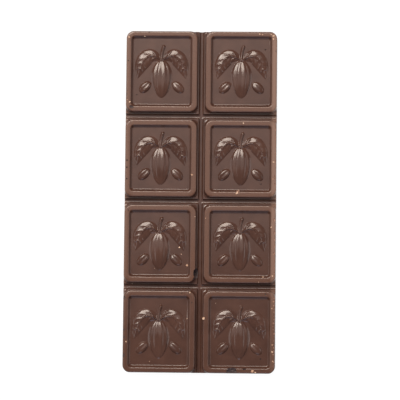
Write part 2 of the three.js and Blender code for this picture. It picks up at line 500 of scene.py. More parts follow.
def add_level(cell, inwards, z, flare):
    """Adds one level's outline, filled with a face. A flare widens the corners that stand on a ledge."""
    sides = cell.inset(inwards, z)
    bench = WORKBENCH + z
    bpy.ops.mesh.primitive_plane_add(size=1, location=(0, 0, bench))
    resize(sides["right"] - sides["left"], sides["back"] - sides["front"], 1, (0, 0, bench))
    move((sides["left"] + sides["right"]) / 2, (sides["front"] + sides["back"]) / 2, 0)
    for across in ("left", "right"):
        for along in ("front", "back"):
            radius = corner_radius(cell, across, along, inwards, z)
            corner = Vector((sides[across], sides[along], bench))
            pick("VERT", lambda vert: (vert.co - corner).length < CLOSE)
            bpy.ops.mesh.bevel(offset=radius, segments=CORNER_STEPS, affect="VERTICES")
            if flare > 0 and not (cell.on_edge[across] and cell.on_edge[along]):
                widen_corner(corner, radius, flare, cell)
    if flare > 0:
        flatten_beyond(sides, bench)


def widen_corner(corner, radius, flare, cell):
    """Scales one round corner of the newest outline up about the middle of its arc."""
    middle = cell.middle()
    arc_x = corner.x + math.copysign(radius, middle.x - corner.x)
    arc_y = corner.y + math.copysign(radius, middle.y - corner.y)
    reach = radius + CLOSE

    def in_corner(vert):
        near = abs(vert.co.x - corner.x) < reach and abs(vert.co.y - corner.y) < reach
        return near and on_workbench(vert)

    pick("VERT", in_corner)
    resize(1 + flare / radius, 1 + flare / radius, 1, (arc_x, arc_y, corner.z))


def flatten_beyond(sides, bench):
    """Presses what stands out past a straight side of the newest outline flat onto it."""
    for side, axis, outwards in (("left", 0, -1), ("right", 0, 1), ("front", 1, -1), ("back", 1, 1)):
        limit = sides[side]
        pick("VERT", lambda vert: on_workbench(vert) and outwards * (vert.co[axis] - limit) > 0)
        if axis == 0:
            resize(0, 1, 1, (limit, 0, bench))
        else:
            resize(1, 0, 1, (0, limit, bench))


# %% The stack of levels


def is_open(edge):
    return len(edge.link_faces) < 2


def add_square(name, cell):
    """A closed square, from a little below its ledge up over the rim and down to its panel."""
    square = new_piece(name)
    levels = foot_levels() + [(point.x, point.y, 0) for point in section]
    for number, (inwards, z, flare) in enumerate(levels):
        add_level(cell, inwards, z, flare)
        if number > 0:
            # Of the new outline only the edges stay. They and the last level's are the open ones.
            pick("FACE", lambda face: all(on_workbench(vert) for vert in face.verts))
            bpy.ops.mesh.delete(type="ONLY_FACE")
            pick("EDGE", is_open)
            bpy.ops.mesh.bridge_edge_loops()
        pick("VERT", on_workbench)
        move(0, 0, -WORKBENCH)
    pick("EDGE", is_open)
    bpy.ops.mesh.edge_face_add()
    face_outwards()
    leave()
    return square


middle_square = add_square("middle square", Cell(1, 1))
end_square = add_square("end square", Cell(1, 0))
print("a square:", len(middle_square.data.polygons), "faces")

# %% [markdown]
# ## Eight squares
#
# Two squares are enough to copy from: one that lies between two grooves, and one at the bar's end, which is
# longer because no groove is cut beside it. The rest of the bar mirrors them. A mirrored mesh is inside out,
# so its faces are turned again.

# %% Copies and mirror images


def mirrored(piece, x, y):
    """A copy scaled by 1 or -1 in X and in Y, with its faces pointing outwards."""
    twin = copy_of(piece)
    edit(twin)
    pick_all()
    resize(x, y, 1, (0, 0, 0))
    face_outwards()
    leave()
    return twin


squares = []
for square in (middle_square, end_square):
    for x in (1, -1):
        for y in (1, -1):
            squares.append(mirrored(square, x, y))
bpy.data.objects.remove(middle_square)
bpy.data.objects.remove(end_square)
bar = slab
combine(bar, joined(squares, "squares"), "UNION")
bar.name = "chocolate_bar"
print("bar without emblems:", len(bar.data.polygons), "faces")

# %% [markdown]
# ## The emblem
#
# Every panel carries the same small relief: a ribbed cocoa pod on its stalk, two leaves and two beans. In the
# mould it is carved, with soft edges and a small fillet wherever a form meets the panel.
#
# It could be sculpted by hand. Here each form starts as a UV sphere that is stretched along Y and given its
# own outline, ring by ring. The forms are joined to a thin sheet, a voxel remesh melts them all into one
# skin, and smoothing that skin leaves the fillets, as warm chocolate would. The skin is then thinned to fewer
# triangles. The subdivided forms round differently from run to run, so the thinning may pick a few other
# triangles.

# %% A spindle, the start of every form


def add_spindle(name, half_sizes, fullness, around=24, along=24):
    """A closed body along Y. fullness(t) is its share of the full width, for t from -1 to 1."""
    bpy.ops.object.select_all(action="DESELECT")
    bpy.ops.mesh.primitive_uv_sphere_add(segments=around, ring_count=along, radius=1)
    spindle = bpy.context.object
    spindle.name = name
    edit(spindle)
    pick_all()
    quarter_turn("X")
    for ring in range(1, along):
        t = math.cos(math.pi * ring / along)
        share = fullness(t) / math.sqrt(1 - t * t)
        pick("VERT", lambda vert: abs(vert.co.y - t) < 0.001)  # the sphere's radius is still 1
        resize(share, 1, share, (0, t, 0))
    pick_all()
    resize(*half_sizes, (0, 0, 0))
    leave()
    return spindle


# %% The pod

POD_HALF = (3.7 * MM, 6.7 * MM, 1.1 * MM)
POD_MIDDLE = -2.5 * MM  # its middle in Y, from the middle of the panel
POD_RIBS = 10  # all round, so that five of them show
RIB_DEPTH = 0.2  # as a share of the pod's radius


def pod_fullness(t):
    """Round at the stalk, drawn out to a blunt point at the far end."""
    return max((1 - t * t), 0) ** 0.62 * (1 + 0.12 * t)


def add_pod():
    pod = add_spindle("pod", (1, 1, 1), pod_fullness, around=4 * POD_RIBS, along=28)
    edit(pod)

    def phase(vert):
        """1 on the crest of a rib, 0 half way down, -1 in the furrow."""
        return math.cos(POD_RIBS * math.atan2(vert.co.z, vert.co.x))

    pick("VERT", lambda vert: phase(vert) < -0.9)
    resize(1 - RIB_DEPTH, 1, 1 - RIB_DEPTH, (0, 0, 0))
    pick("VERT", lambda vert: abs(phase(vert)) < 0.1)
    resize(1 - RIB_DEPTH / 3, 1, 1 - RIB_DEPTH / 3, (0, 0, 0))
    pick_all()
    resize(*POD_HALF, (0, 0, 0))
    leave()
    modify(pod, "SUBSURF", levels=1)
    place(pod, 0, POD_MIDDLE, 0)
    return pod


pod = add_pod()
print("pod:", len(pod.data.polygons), "faces")

# %% Bending a form along an arch


def bend(piece, start, pull, end):
    """Lays a form that runs along Y on the arch from start to end that pull draws out."""
    select_only(piece)
    bpy.ops.curve.primitive_bezier_curve_add()
    arch = bpy.context.object
    arch.data.dimensions = "2D"
    arch.data.resolution_u = 32
    points = arch.data.splines[0].bezier_points
    start, pull, end = (Vector((*spot, 0)) * MM for spot in (start, pull, end))
    for point, here in zip(points, (start, end)):
        point.handle_left_type = point.handle_right_type = "FREE"
        point.co = point.handle_left = point.handle_right = here
    # With both handles two thirds of the way to one point, the curve is a plain parabola.
    points[0].handle_right = start + (pull - start) * 2 / 3
    points[1].handle_left = end + (pull - end) * 2 / 3
    length = arch.data.splines[0].calc_length()
    low = min(vert.co.y for vert in piece.data.vertices)
    high = max(vert.co.y for vert in piece.data.vertices)
    edit(piece)
    pick_all()
    move(0, -low, 0)
    resize(1, length / (high - low), 1, (0, 0, 0))
    leave()
    place(piece, 0, 0, 0, -math.pi / 2)  # a flat curve keeps a form level only if it lies along X
    modify(piece, "CURVE", object=arch, deform_axis="POS_X")
    bpy.data.objects.remove(arch)


# %% The leaves

LEAF_HALF = (2.6 * MM, 6 * MM, 0.62 * MM)
LEAF_ARCH = ((0.3, 3.9), (6.2, 8.8), (8.3, -2.6))  # in millimetres, from the middle of the panel
MIDRIB_HALF = (0.32 * MM, 5.9 * MM, 0.9 * MM)
VEINS = 5
VEIN_HALF = (0.22 * MM, 1 * MM, 0.3 * MM)
VEIN_TURN = 0.85  # between a vein and the midrib
VEIN_HEIGHT = 0.4 * MM
VEIN_REACH = 0.78  # how much of the blade's half width a vein crosses
FIRST_VEIN = -0.72  # where on the midrib it starts, from -1 at the stalk to 1 at the tip
VEIN_SPAN = 1.15  # from the first to the last


def leaf_fullness(t):
    """Pointed at both ends and widest a little before the middle."""
    return max(1 - t * t, 0) * (1 - 0.25 * t)


def rib_fullness(t):
    """Blunt at both ends and thinner towards the tip."""
    return max(1 - t * t, 0) ** 0.4 * (1 - 0.45 * t)


def add_leaf():
    parts = [
        add_spindle("blade", LEAF_HALF, leaf_fullness, along=40),
        add_spindle("midrib", MIDRIB_HALF, rib_fullness, around=12, along=32),
    ]
    for number in range(VEINS):
        # A vein starts on the midrib, leans towards the tip and ends short of the blade's edge.
        t = FIRST_VEIN + VEIN_SPAN * number / (VEINS - 1)
        reach = VEIN_REACH * LEAF_HALF[0] * leaf_fullness(t + 0.2)
        half_length = reach / math.sin(VEIN_TURN) / 2
        for side in (1, -1):
            vein = add_spindle("vein", VEIN_HALF, rib_fullness, around=8, along=12)
            edit(vein)
            pick_all()
            resize(1, half_length / VEIN_HALF[1], 1, (0, 0, 0))
            leave()
            along = t * LEAF_HALF[1] + half_length * math.cos(VEIN_TURN)
            place(vein, side * reach / 2, along, VEIN_HEIGHT, -side * VEIN_TURN)
            parts.append(vein)
    leaf = joined(parts, "leaf")
    bend(leaf, *LEAF_ARCH)
    return leaf


right_leaf = add_leaf()
left_leaf = mirrored(right_leaf, -1, 1)
print("a leaf:", len(right_leaf.data.polygons), "faces")

# %% Beans and stalk

BEAN_HALF = (1.55 * MM, 2.4 * MM, 0.85 * MM)
BEAN_AT = (5.7 * MM, -5.5 * MM)
BEAN_TURN = 0.8
CREASE = 0.6  # height left at the bottom of a bean's crease, as a share
CREASE_REACH = 0.85  # how much of the bean's length it runs along
STALK_HALF = (0.6 * MM, 3 * MM, 0.75 * MM)
STALK_ARCH = ((0.9, 9.1), (-0.3, 7.0), (0.0, 3.2))  # in millimetres, from the middle of the panel


def bean_fullness(t):
    return max(1 - t * t, 0) ** 0.45


def is_on_crease(vert):
    return abs(vert.co.x) < BEAN_HALF[0] / 100 and abs(vert.co.y) < CREASE_REACH * BEAN_HALF[1]


def add_bean():
    bean = add_spindle("bean", BEAN_HALF, bean_fullness, around=16, along=20)
    edit(bean)
    pick("VERT", is_on_crease)
    resize(1, 1, CREASE, (0, 0, 0))
    leave()
    modify(bean, "SUBSURF", levels=1)
    place(bean, *BEAN_AT, 0, BEAN_TURN)
    return bean


def stalk_fullness(t):
    """Cut off square at its far end, with the thick foot of a real stalk where it meets the pod."""
    return min(1, 6 * (1 - abs(t))) ** 0.5 * (0.8 + 0.2 * t * t)


right_bean = add_bean()
left_bean = mirrored(right_bean, -1, 1)
stalk = add_spindle("stalk", STALK_HALF, stalk_fullness, around=16, along=32)
bend(stalk, *STALK_ARCH)
print("a bean and the stalk:", len(right_bean.data.polygons), "and", len(stalk.data.polygons), "faces")

# %% One skin over all of them

SHEET_HALF = (9.4 * MM, 9.8 * MM)
SHEET_DEPTH = 1.0 * MM
SUNK = 0.03 * MM  # how far the sheet lies under the panel's surface
VOXEL = 0.12 * MM
EMBLEM_TRIANGLES = 13000

sheet = add_block("sheet", *SHEET_HALF, -SHEET_DEPTH, -SUNK, (0, 0))
leave()
emblem = joined([sheet, pod, left_leaf, right_leaf, left_bean, right_bean, stalk], "emblem")
modify(emblem, "REMESH", mode="VOXEL", voxel_size=VOXEL)
edit(emblem)
pick_all()
bpy.ops.mesh.vertices_smooth(factor=0.5, repeat=5)
leave()
skin = len(emblem.data.polygons)
modify(emblem, "DECIMATE", ratio=EMBLEM_TRIANGLES / (2 * skin), use_collapse_triangulate=True)
print("emblem:", skin, "squares of skin, then", len(emblem.data.polygons), "triangles")

# %% An emblem in every panel

emblems = []
for column in range(COLUMNS):
    for row in range(ROWS):
        twin = copy_of(emblem)
        place(twin, *Cell(column, row).middle())
        emblems.append(twin)
bpy.data.objects.remove(emblem)
combine(bar, joined(emblems, "emblems"), "UNION")
print("bar with emblems:", len(bar.data.polygons), "faces")

# %% [markdown]
# ## Chocolate
#
# Milk chocolate is cocoa solids, milk and sugar in cocoa butter, ground so fine that the tongue feels no
# grain. What tells its surfaces apart is how each was made. This bar has five kinds, and each gets a material
# of its own.
#
# A painted image could carry such detail, but it would blur when seen close. Noise that is worked out from
# the place on the object, in metres, stays sharp at every distance and needs no unwrapping. Its scale is one
# over the size of its spots, so each size below is a real one.

# %% Colours and nodes


def linear(hex_colour):
    """An sRGB colour such as "6b4d45" as the linear values that the shader works with."""
    channels = [int(hex_colour[i:i + 2], 16) / 255 for i in (0, 2, 4)]
    return tuple(c / 12.92 if c <= 0.04045 else ((c + 0.055) / 1.055) ** 2.4 for c in channels) + (1.0,)


def add_node(material, kind, inputs, **settings):
    """Adds a node with its settings. An input is given a value, or the output of another node."""
    node = material.node_tree.nodes.new(kind)
    for setting, value in settings.items():
        setattr(node, setting, value)
    for name, value in inputs.items():
        socket = next(s for s in node.inputs if s.enabled and name in (s.name, s.identifier))
        if isinstance(value, bpy.types.NodeSocket):
            material.node_tree.links.new(value, socket)
        else:
            socket.default_value = value
    return next(s for s in node.outputs if s.enabled)


def new_material(name):
    """A material, its shader, and the place on the object that its patterns are read from."""
    material = bpy.data.materials.new(name)
    material.use_nodes = True
    position = material.node_tree.nodes.new("ShaderNodeTexCoord").outputs["Object"]
    return material, material.node_tree.nodes["Principled BSDF"], position


def two_tones(material, position, spot, cut, dark, light, **noise):
    """Soft spots of two colours, and the noise that they come from. A narrow cut makes their edges crisp."""
    spots = add_node(material, "ShaderNodeTexNoise", {"Vector": position, "Scale": 1 / spot} | noise)
    low, high = cut
    share = add_node(material, "ShaderNodeMapRange", {"Value": spots, "From Min": low, "From Max": high})
    colours = {"Factor_Float": share, "A_Color": dark, "B_Color": light}
    return add_node(material, "ShaderNodeMix", colours, data_type="RGBA"), spots


def connect(material, shader, **links):
    """Links outputs to the shader's sockets."""
    for name, output in links.items():
        material.node_tree.links.new(output, shader.inputs[name.replace("_", " ")])


def set_same_all_over(shader, **values):
    """Sets the shader's own sockets, for what doesn't change from place to place."""
    for name, value in values.items():
        shader.inputs[name.replace("_", " ")].default_value = value


CHOCOLATE_IOR = 1.47  # cocoa butter with fine sugar in it
print("milk chocolate is about", [round(c, 3) for c in linear("4f3428")[:3]])

# %% [markdown]
# ## Chocolate that touched the mould
#
# The mould is polished plastic. Tempered chocolate shrinks away from it as it sets and keeps its gloss, so
# the eye sees a deep brown with clear, soft-edged reflections. Then the bar slides about in its wrapper, and
# the tops of the rims are rubbed paler. The long sides are painted paler still, as painted glare, and painted
# sheen makes rims and sides lighter towards the far end and least in the near row.
#
# Two materials with a border between them would show that border. Rubbing, painted glare and painted sheen
# fade out, so this is one material that mixes its colours by how high, how far out and how far back a place
# lies.

# %% How much a place was rubbed: the tops of the rims, with painted sheen by row

RIM_TOPS_FROM = HEIGHT - 0.12 * MM  # only the tops of the rims rubbed against the wrapper
RIM_TOPS_FULL = HEIGHT - 0.02 * MM
# Painted sheen: rims and sides are painted lighter towards the far end and least in the near row, as sheen from
# the far end falls off towards the near end.
PAINTED_SHEEN_FROM = -HALF_LENGTH + 0.5 * SQUARE_LENGTH  # the middle of the near row
PAINTED_SHEEN_FULL = -HALF_LENGTH + 1.3 * SQUARE_LENGTH  # a third of the way into the next row
NEAR_ROW_SHEEN = 0.35

moulded, shader, on_bar = new_material("moulded_chocolate")
position = add_node(moulded, "ShaderNodeSeparateXYZ", {"Vector": on_bar}).node.outputs
on_top = add_node(
    moulded,
    "ShaderNodeMapRange",
    {"Value": position["Z"], "From Min": RIM_TOPS_FROM, "From Max": RIM_TOPS_FULL},
    interpolation_type="SMOOTHSTEP",
)
painted_far_sheen = add_node(
    moulded,
    "ShaderNodeMapRange",
    {
        "Value": position["Y"],
        "From Min": PAINTED_SHEEN_FROM,
        "From Max": PAINTED_SHEEN_FULL,
        "To Min": NEAR_ROW_SHEEN,
        "To Max": 1.0,
    },
    interpolation_type="SMOOTHSTEP",
)
# Rubbed rim tops, times the painted sheen by row.
scuffed_and_sheen = add_node(moulded, "ShaderNodeMath", {"Value": on_top, "Value_001": painted_far_sheen}, operation="MULTIPLY")
print(f"rims rubbed from {RIM_TOPS_FROM / MM:.2f} mm up")

# %% Painted glare along the long sides

# Painted glare: the colour is lightened along both long sides, more on the right, as glare from the white
# surroundings would light them. It is not wear.
SIDE_GLARE_WIDTH = 2.0 * MM
SIDE_GLARE_RIGHT = 0.9
SIDE_GLARE_LEFT = 0.6
SIDE_GLARE_BELOW = 0.2  # share of that painted glare on the upright sides, below the rims

right_side = add_node(
    moulded,
    "ShaderNodeMapRange",
    {
        "Value": position["X"],
        "From Min": HALF_WIDTH - SIDE_GLARE_WIDTH,
        "From Max": HALF_WIDTH - 0.6 * SIDE_GLARE_WIDTH,
        "To Max": SIDE_GLARE_RIGHT,
    },
)
left_side = add_node(
    moulded,
    "ShaderNodeMapRange",
    {
        "Value": position["X"],
        "From Min": -HALF_WIDTH,
        "From Max": -HALF_WIDTH + 0.6 * SIDE_GLARE_WIDTH,
        "To Min": SIDE_GLARE_LEFT,
        "To Max": 0.0,
    },
)
near_top = add_node(
    moulded,
    "ShaderNodeMapRange",
    {
        "Value": position["Z"],
        "From Min": HEIGHT - 2 * SIDE_GLARE_WIDTH,
        "From Max": HEIGHT - 0.5 * SIDE_GLARE_WIDTH,
        "To Min": SIDE_GLARE_BELOW,
    },
)
sides = add_node(moulded, "ShaderNodeMath", {"Value": right_side, "Value_001": left_side}, operation="ADD")
painted_side_glare = add_node(moulded, "ShaderNodeMath", {"Value": sides, "Value_001": near_top}, operation="MULTIPLY")
# Painted glare on the long sides, fading towards the near end with the painted sheen.
lightened = add_node(moulded, "ShaderNodeMath", {"Value": painted_side_glare, "Value_001": painted_far_sheen}, operation="MULTIPLY")
print(f"long sides rubbed over {SIDE_GLARE_WIDTH / MM:.1f} mm")

# %% Colours of moulded chocolate

PATCH = 5 * MM  # where the cocoa butter set a little differently
GRAIN = 0.35 * MM  # rubbing marks and pores are finer, but would not show
PANEL_DARK = linear("452e25")
PANEL_LIGHT = linear("4f362c")
SCUFFED_DARK = linear("563b2f")
SCUFFED_LIGHT = linear("624536")
# The last colour is the pale colour of the painted glare along the long sides.
SIDE_GLARE = linear("7a5f51")

in_panel, _ = two_tones(moulded, on_bar, PATCH, (0.3, 0.7), PANEL_DARK, PANEL_LIGHT)
on_rim, grain = two_tones(moulded, on_bar, GRAIN, (0.3, 0.7), SCUFFED_DARK, SCUFFED_LIGHT, Detail=3.0)
rim_and_panel = add_node(
    moulded,
    "ShaderNodeMix",
    {"Factor_Float": scuffed_and_sheen, "A_Color": in_panel, "B_Color": on_rim},
    data_type="RGBA",
)
# The painted glare is mixed over the rims and panels near the long sides.
colour = add_node(
    moulded,
    "ShaderNodeMix",
    {"Factor_Float": lightened, "A_Color": rim_and_panel, "B_Color": SIDE_GLARE},
    data_type="RGBA",
)

# %% Gloss and unevenness of moulded chocolate

PANEL_ROUGHNESS = 0.16  # clear reflections with a soft edge
SCUFFED_ROUGHNESS = 0.18  # rubbing dulls them a little
PANEL_BULGE = 0.06 * MM  # as it sets, a square bulges by this much from its grooves to its middle
WAVE_OF_ONE = 0.1 * math.pi  # a wave texture of scale 1 repeats after this many metres
ABOVE_GROOVES = LEDGE + 0.3 * MM  # from here up the bulge shows in full
GRAIN_HEIGHT = 0.02 * MM

roughness = add_node(
    moulded,
    "ShaderNodeMapRange",
    {"Value": scuffed_and_sheen, "To Min": PANEL_ROUGHNESS, "To Max": SCUFFED_ROUGHNESS},
)
bulge = add_node(
    moulded,
    "ShaderNodeTexWave",
    {"Vector": on_bar, "Scale": WAVE_OF_ONE / SQUARE_LENGTH},
    bands_direction="Y",
)
above_ledge = add_node(
    moulded,
    "ShaderNodeMapRange",
    {"Value": position["Z"], "From Min": LEDGE, "From Max": ABOVE_GROOVES},
)
bulged = add_node(
    moulded,
    "ShaderNodeBump",
    {"Height": bulge, "Strength": above_ledge, "Distance": PANEL_BULGE},
)
bumpy = add_node(
    moulded,
    "ShaderNodeBump",
    {"Height": grain, "Strength": 0.2, "Distance": GRAIN_HEIGHT, "Normal": bulged},
)
connect(moulded, shader, Base_Color=colour, Roughness=roughness, Normal=bumpy)
set_same_all_over(shader, IOR=CHOCOLATE_IOR)
print("moulded chocolate:", len(moulded.node_tree.nodes), "nodes")

# %% [markdown]
# ## Chocolate that has broken
#
# Chocolate snaps between its crystals and leaves fine steps, each with its own slope. They scatter the light,
# so a fresh break looks dull and rough next to the glossy skin. Its colour here is painted darker than broken
# chocolate is, as painted shade for the shade that lies in chips, pits and pinholes. The stones below give the
# break its large forms. The steps are finer than any mesh, and come from noise in the bump.

# %% Broken chocolate

FRACTURE = 0.5 * MM  # size of the fine steps on a broken face
FRACTURE_HEIGHT = 0.12 * MM
# Darker than broken chocolate is: painted shade for the shade in chips, pits and pinholes.
BROKEN_SHADED_DARK = linear("2c2223")
BROKEN_SHADED_LIGHT = linear("453532")

broken, shader, on_bar = new_material("broken_chocolate_and_painted_shade")
colour, steps = two_tones(
    broken, on_bar, FRACTURE, (0.35, 0.65), BROKEN_SHADED_DARK, BROKEN_SHADED_LIGHT, Detail=4.0, Roughness=0.6
)
uneven = add_node(broken, "ShaderNodeBump", {"Height": steps, "Strength": 1.0, "Distance": FRACTURE_HEIGHT})
connect(broken, shader, Base_Color=colour, Normal=uneven)
set_same_all_over(shader, Roughness=0.62, IOR=CHOCOLATE_IOR)
print("broken chocolate:", len(broken.node_tree.nodes), "nodes")

# %% [markdown]
# ## Pale crumbs
#
# A crumb is chocolate that was scraped thin and curled up. Light passes through its thin edges and scatters
# on its many small cracks, so it is far paler than the bar and has no gloss. It could be given translucency,
# but at half a millimetre a pale, dull colour that varies from crumb to crumb says the same.

# %% Crumbs

CRUMB_SPOT = 1.5 * MM  # wider than a crumb, so that each has a colour of its own
CRUMB_DARK = linear("a67c60")
CRUMB_LIGHT = linear("dcc0a4")
CRUMB_IOR = 1.46  # mostly cocoa butter

pale, shader, on_bar = new_material("pale_chocolate_crumbs")
colour, _ = two_tones(pale, on_bar, CRUMB_SPOT, (0.35, 0.65), CRUMB_DARK, CRUMB_LIGHT)
connect(pale, shader, Base_Color=colour)
set_same_all_over(shader, Roughness=0.55, IOR=CRUMB_IOR)
print("pale crumbs:", len(pale.node_tree.nodes), "nodes")

# %% [markdown]
# ## Edges that were scraped
#
# Where an edge is dragged over something hard, its gloss is gone and some of what was scraped off sticks to
# it. The eye sees a dull brown with pale streaks. The streaks come from the same noise as the steps of a
# broken face, cut higher, so that fewer of them show.

# %% Scraped chocolate

SCRAPED_DARK = linear("6b4a3d")
SCRAPED_LIGHT = linear("b08a72")

scraped, shader, on_bar = new_material("scraped_chocolate")
colour, _ = two_tones(
    scraped, on_bar, FRACTURE, (0.45, 0.65), SCRAPED_DARK, SCRAPED_LIGHT, Detail=4.0, Roughness=0.6
)
connect(scraped, shader, Base_Color=colour)
set_same_all_over(shader, Roughness=0.6, IOR=CHOCOLATE_IOR)
print("scraped chocolate:", len(scraped.node_tree.nodes), "nodes")

# %% [markdown]
# ## Chocolate that set in the open
#
# The back never touched the mould. A blade drew it level while it was liquid and left faint waves, and in the
# air the cocoa butter set in coarser crystals, so the back is matt, a little paler and softly uneven.

# %% Poured chocolate

WAVE = 9 * MM  # from crest to crest of the waves that the blade left
WAVE_HEIGHT = 0.6 * MM
CRYSTAL_HEIGHT = 0.03 * MM
POURED_DARK = linear("4a3228")
POURED_LIGHT = linear("583d32")

poured, shader, on_bar = new_material("poured_chocolate")
colour, waves = two_tones(poured, on_bar, WAVE, (0.35, 0.65), POURED_DARK, POURED_LIGHT, Detail=2.0)
wavy = add_node(poured, "ShaderNodeBump", {"Height": waves, "Strength": 1.0, "Distance": WAVE_HEIGHT})
crystals = add_node(poured, "ShaderNodeTexNoise", {"Vector": on_bar, "Scale": 1 / GRAIN, "Detail": 3.0})
dull = add_node(
    poured,
    "ShaderNodeBump",
    {"Height": crystals, "Strength": 0.5, "Distance": CRYSTAL_HEIGHT, "Normal": wavy},
)
connect(poured, shader, Base_Color=colour, Normal=dull)
set_same_all_over(shader, Roughness=0.5, IOR=CHOCOLATE_IOR)
print("poured chocolate:", len(poured.node_tree.nodes), "nodes")

# %% [markdown]
# ## Five finishes on one mesh
#
# The bar is one mesh, so its faces say which finish they have by a slot number. The bar starts out moulded
# all over, and its back is then given the poured finish. The other three come with the tools that cut or
# stick to it: a Boolean step leaves each face with the finish of the piece that it came from.

# %% Slots

FINISHES = (moulded, broken, pale, poured, scraped)
MOULDED, BROKEN, PALE, POURED, SCRAPED = range(len(FINISHES))


def give_slots(piece, slot):
    """All pieces list the same materials, so that a Boolean step keeps each face's own."""
    piece.data.materials.clear()
    for material in FINISHES:
        piece.data.materials.append(material)
    edit(piece)
    pick_all()
    piece.active_material_index = slot
    bpy.ops.object.material_slot_assign()
    leave()


def is_back(face):
    return face.normal.z < -0.3 and face.calc_center_median().z < BACK_ROUNDING


give_slots(bar, MOULDED)
edit(bar)
pick("FACE", is_back)
bar.active_material_index = POURED
bpy.ops.object.material_slot_assign()
leave()
print("faces of the back:", sum(face.material_index == POURED for face in bar.data.polygons))

# %% [markdown]
# ## Wear
#
# A bar that has been unpacked and carried is not perfect. Its edges have struck something and splintered,
# air that was trapped in the mould has left pinholes and one larger dent, and crumbs stick to it. Such marks
# could be painted, but a chip catches the light on a broken rim, so each one is cut with a rough stone.
# Crumbs are stones that are added instead.
#
# Each mark has its place in millimetres from the middle of the bar, and rows are counted from the far end.
# Sizes and turns that don't matter one by one are drawn at random, from a fixed seed, so that every run makes
# the same marks.

# %% Stones

random.seed(7)
SPLINTER = 0.7 * MM


def add_stone(half_sizes, x, y, z, turn=0, rough=0.12, fineness=2):
    """A lump with an uneven skin. Its sizes are half sizes, and all lengths are in millimetres."""
    bpy.ops.object.select_all(action="DESELECT")
    bpy.ops.mesh.primitive_ico_sphere_add(subdivisions=fineness, radius=1)
    stone = bpy.context.object
    edit(stone)
    pick_all()
    bpy.ops.transform.vertex_random(offset=rough, uniform=0, normal=1, seed=random.randrange(1000))
    resize(*(size * MM for size in half_sizes), (0, 0, 0))
    leave()
    place(stone, x * MM, y * MM, z * MM, turn)
    return stone


def lump(half_sizes, x, y, z, turn=0):
    """A larger stone with a splintered skin: dents within dents, from clouds of noise."""
    stone = add_stone(half_sizes, x, y, z, turn, rough=0, fineness=5)
    splinters = bpy.data.textures.new("splinters", "CLOUDS")
    splinters.noise_scale = SPLINTER
    splinters.noise_depth = 2
    modify(stone, "DISPLACE", texture=splinters, texture_coords="GLOBAL", strength=SPLINTER)
    return stone


def surface_at(x, y):
    """The height of the bar's upper face at a place. All three are in millimetres."""
    found, point, _, _ = bar.ray_cast((x * MM, y * MM, 2 * HEIGHT), (0, 0, -1))
    return point.z / MM if found else HEIGHT / MM


def chip(stones, slot=BROKEN):
    """Cuts the stones out of the bar. They must not touch each other."""
    tool = joined(stones, "stones")
    give_slots(tool, slot)
    combine(bar, tool, "DIFFERENCE")


def stick(stones, slot):
    """Unites the stones with the bar. They must not touch each other."""
    tool = joined(stones, "crumbs")
    give_slots(tool, slot)
    combine(bar, tool, "UNION")


# %% The large chips

RIM_TOP = HEIGHT / MM
LARGE_CHIPS = [
    # half sizes, x, y, height of the middle from the rim's top, turn
    ((1.35, 2.0, 1.9), -0.95, -24.9, -1, 0.1),  # a gouge in the wall of the long groove
    ((0.35, 1.1, 1.3), -0.95, -23.0, -0.7, -0.35),  # the splinter that left with it, further back
    ((0.35, 0.8, 0.9), -1.75, -26.7, -0.4, -0.3),  # and the one in front
    ((1.8, 1.7, 0.85), 11.3, -58.2, 0, 0),  # a piece broken from the near edge
]
for half_sizes, x, y, above, turn in LARGE_CHIPS:
    chip([lump(half_sizes, x, y, RIM_TOP + above, turn)])
chip([
    add_stone((0.62, 0.35, 0.5), 15.6, -57.2, RIM_TOP, fineness=3),  # a pit beside it
    add_stone((0.8, 0.55, 0.4), -24.0, 32.3, RIM_TOP + 0.05, -0.3, rough=0.05, fineness=3),  # an air bubble
])
print("bar with large chips:", len(bar.data.polygons), "faces")

# %% Pinholes

PINHOLES = [
    (-18.2, 58.3), (22.0, 52.6), (25.6, 51.9),  # in the far rims
    (-25.3, 48.3), (-25.3, 13.8), (-25.3, 11.4), (-25.3, 7.4), (-24.6, -3.4),  # in the left rims
    (20.8, 6.0), (22.6, -31.7), (-6.0, -31.6), (-2.5, -34.8),  # in rims beside the grooves
    (21.6, -57.8), (21.1, -53.8),  # in the near rim
    (-22.3, 36.6), (-11.8, -21.8),  # in the panels
]
pinholes = []
for x, y in PINHOLES:
    size = random.uniform(0.17, 0.3)
    pinholes.append(add_stone((size, size * 1.2, 0.3), x, y, surface_at(x, y), random.uniform(0, 3)))
chip(pinholes)
print(len(pinholes), "pinholes")

# %% Rubbed edges


def rub(x, low, high, count, slot):
    """A row of small shallow chips along the bar's side, from one Y to another."""
    stones = []
    pitch = (high - low) / count
    for number in range(count):
        y = low + pitch * (number + random.uniform(0.35, 0.65))
        half_width = random.uniform(0.15, 0.45)
        half_length = pitch * random.uniform(0.12, 0.33)
        across = x + random.uniform(-0.3, 0.2)
        turn = random.uniform(-0.3, 0.3)
        stones.append(add_stone((half_width, half_length, 0.25), across, y, RIM_TOP + 0.1, turn))
    chip(stones, slot)


RUBBED_EDGES = [
    # x, from y, to y, number of chips, slot
    (25.5, -56.5, -32.5, 20, SCRAPED),  # right side, fourth row
    (25.7, -26, -5, 9, SCRAPED),  # third row
    (25.7, 2, 26, 9, SCRAPED),  # second row
    (-25.7, 32.5, 39, 8, BROKEN),  # left side, first row, above the air bubble
    (-25.7, -54, -32, 8, BROKEN),  # fourth row
]
for x, low, high, count, slot in RUBBED_EDGES:
    rub(x, low, high, count, slot)
print("bar with rubbed edges:", len(bar.data.polygons), "faces")

# %% Crumbs that stick to it

